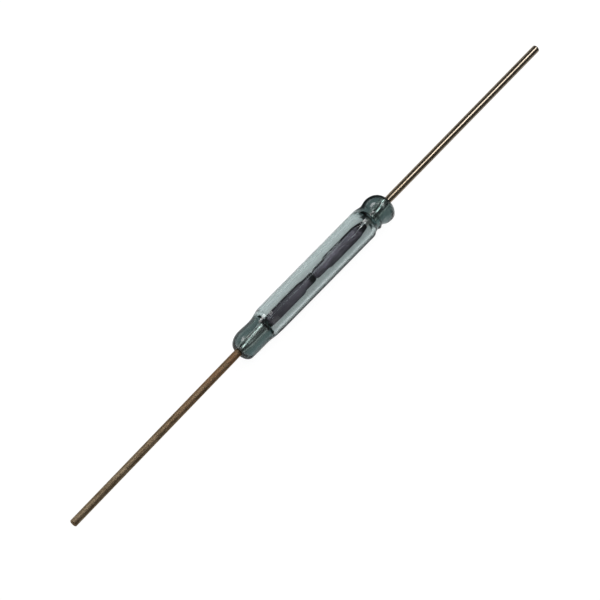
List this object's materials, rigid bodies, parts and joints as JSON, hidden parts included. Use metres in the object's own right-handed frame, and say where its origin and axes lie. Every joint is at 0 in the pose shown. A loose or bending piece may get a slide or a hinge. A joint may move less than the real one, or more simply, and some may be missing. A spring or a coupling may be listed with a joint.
{
  "type": "glass reed switch",
  "caption": "Axial glass reed switch: a sealed glass capsule on a straight wire, with flat spring blades inside that a magnet closes.",
  "frame": {"origin": "middle of the switch on its axis, which is the middle of the glass and of its bounding box", "axes": "+X along the switch from lead A to lead B; +Z square to the flat faces of the blades, the way blade B's tip opens; +Y across the blades"},
  "size_m": [0.044, 0.002, 0.002],
  "materials": {
    "glass": "clear pale green-grey, fire-polished",
    "tarnished_lead": "brown tarnish over drawn wire",
    "bright_lead": "smooth and shiny, with a warm tint",
    "blade_metal": "dark purple-grey, satin"
  },
  "bodies": {
    "capsule": {"glass_capsule": "glass", "lead_a": "tarnished_lead", "lead_b": "bright_lead"},
    "reed_a": {"blade_a": "blade_metal"},
    "reed_b": {"blade_b": "blade_metal"}
  },
  "joints": [
    {"name": "reed_a_flex", "type": "hinge", "parent": "capsule", "child": "reed_a", "pos_m": [-0.00387, 0, -0.00013], "axis": [0, -1, 0], "range_deg": [0, 0.56], "stiffness_Nm_per_rad": 0.0004},
    {"name": "reed_b_flex", "type": "hinge", "parent": "capsule", "child": "reed_b", "pos_m": [0.00387, 0, 0.00013], "axis": [0, -1, 0], "range_deg": [0, 0.56], "stiffness_Nm_per_rad": 0.0004}
  ],
  "couplings": [
    {"joint": "reed_b_flex", "follows": "reed_a_flex", "ratio": 1}
  ]
}
